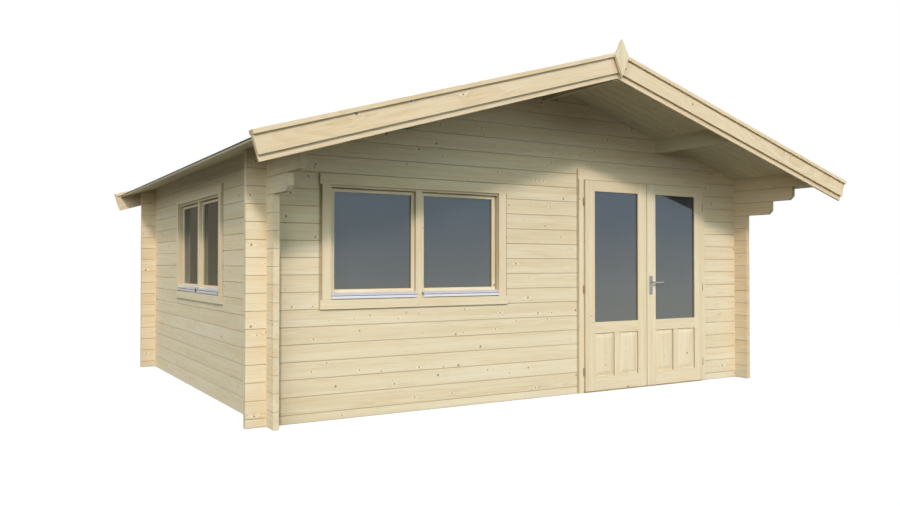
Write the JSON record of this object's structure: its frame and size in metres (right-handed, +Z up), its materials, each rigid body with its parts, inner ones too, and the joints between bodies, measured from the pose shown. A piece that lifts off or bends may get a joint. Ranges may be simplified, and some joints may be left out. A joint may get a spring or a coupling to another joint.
{
  "type": "log cabin",
  "caption": "Garden log cabin with interlocking log walls, low gable roof with front overhang, glazed double door and casement windows.",
  "frame": {"origin": "middle of the cabin's outline, roof overhangs included, on the ground", "axes": "+X to the right along the front wall, +Y from the front to the back, +Z up"},
  "size_m": [5.799, 5.2386, 2.9],
  "materials": {
    "log_wood": "planed pine, untreated",
    "joinery_wood": "planed pine, smooth",
    "roof_wood": "planed pine boards",
    "floor_wood": "planed pine boards",
    "felt": "mineral roofing felt",
    "glass": "clear",
    "aluminium": "satin",
    "hinge_metal": "aged satin",
    "handle_metal": "satin"
  },
  "bodies": {
    "cabin": {"front_wall_left": "log_wood", "front_wall_right": "log_wood", "front_gable": "log_wood", "back_wall": "log_wood", "back_gable": "log_wood", "left_wall": "log_wood", "right_wall": "log_wood", "floor_joists": "floor_wood", "floor_boards": "floor_wood", "ridge_purlin": "roof_wood", "side_purlins": "roof_wood", "roof_boards_left": "roof_wood", "roof_boards_right": "roof_wood", "roof_felt": "felt", "front_bargeboards": "joinery_wood", "front_fascia_boards": "joinery_wood", "front_cap_strips": "joinery_wood", "front_finial": "joinery_wood", "back_bargeboards": "joinery_wood", "back_fascia_boards": "joinery_wood", "back_cap_strips": "joinery_wood", "back_finial": "joinery_wood", "front_window_frame": "joinery_wood", "front_window_sashes": "joinery_wood", "front_window_glass": "glass", "front_window_casing": "joinery_wood", "front_window_sills": "aluminium", "left_window_frame": "joinery_wood", "left_window_sashes": "joinery_wood", "left_window_glass": "glass", "left_window_casing": "joinery_wood", "left_window_sills": "aluminium", "door_frame": "joinery_wood", "door_threshold": "floor_wood", "door_casing": "joinery_wood", "door_hinge_pins": "hinge_metal"},
    "left_leaf": {"left_leaf_frame": "joinery_wood", "left_leaf_panels": "joinery_wood", "left_leaf_glass": "glass", "left_leaf_hinges": "hinge_metal"},
    "right_leaf": {"right_leaf_frame": "joinery_wood", "right_leaf_panels": "joinery_wood", "right_leaf_glass": "glass", "right_leaf_hinges": "hinge_metal", "handle_plates": "handle_metal"},
    "lever": {"handle_lever": "handle_metal"}
  },
  "joints": [
    {"name": "left_leaf_hinge", "type": "hinge", "parent": "cabin", "child": "left_leaf", "pos_m": [0.416, -1.6726, 0.957], "axis": [0, 0, -1], "range_deg": [0, 110]},
    {"name": "right_leaf_hinge", "type": "hinge", "parent": "cabin", "child": "right_leaf", "pos_m": [1.944, -1.6726, 0.957], "axis": [0, 0, 1], "range_deg": [0, 110]},
    {"name": "lever_turn", "type": "hinge", "parent": "right_leaf", "child": "lever", "pos_m": [1.231, -1.665, 0.987], "axis": [0, 1, 0], "range_deg": [0, 45], "stiffness_Nm_per_rad": 1, "springref_deg": -17.19}
  ]
}
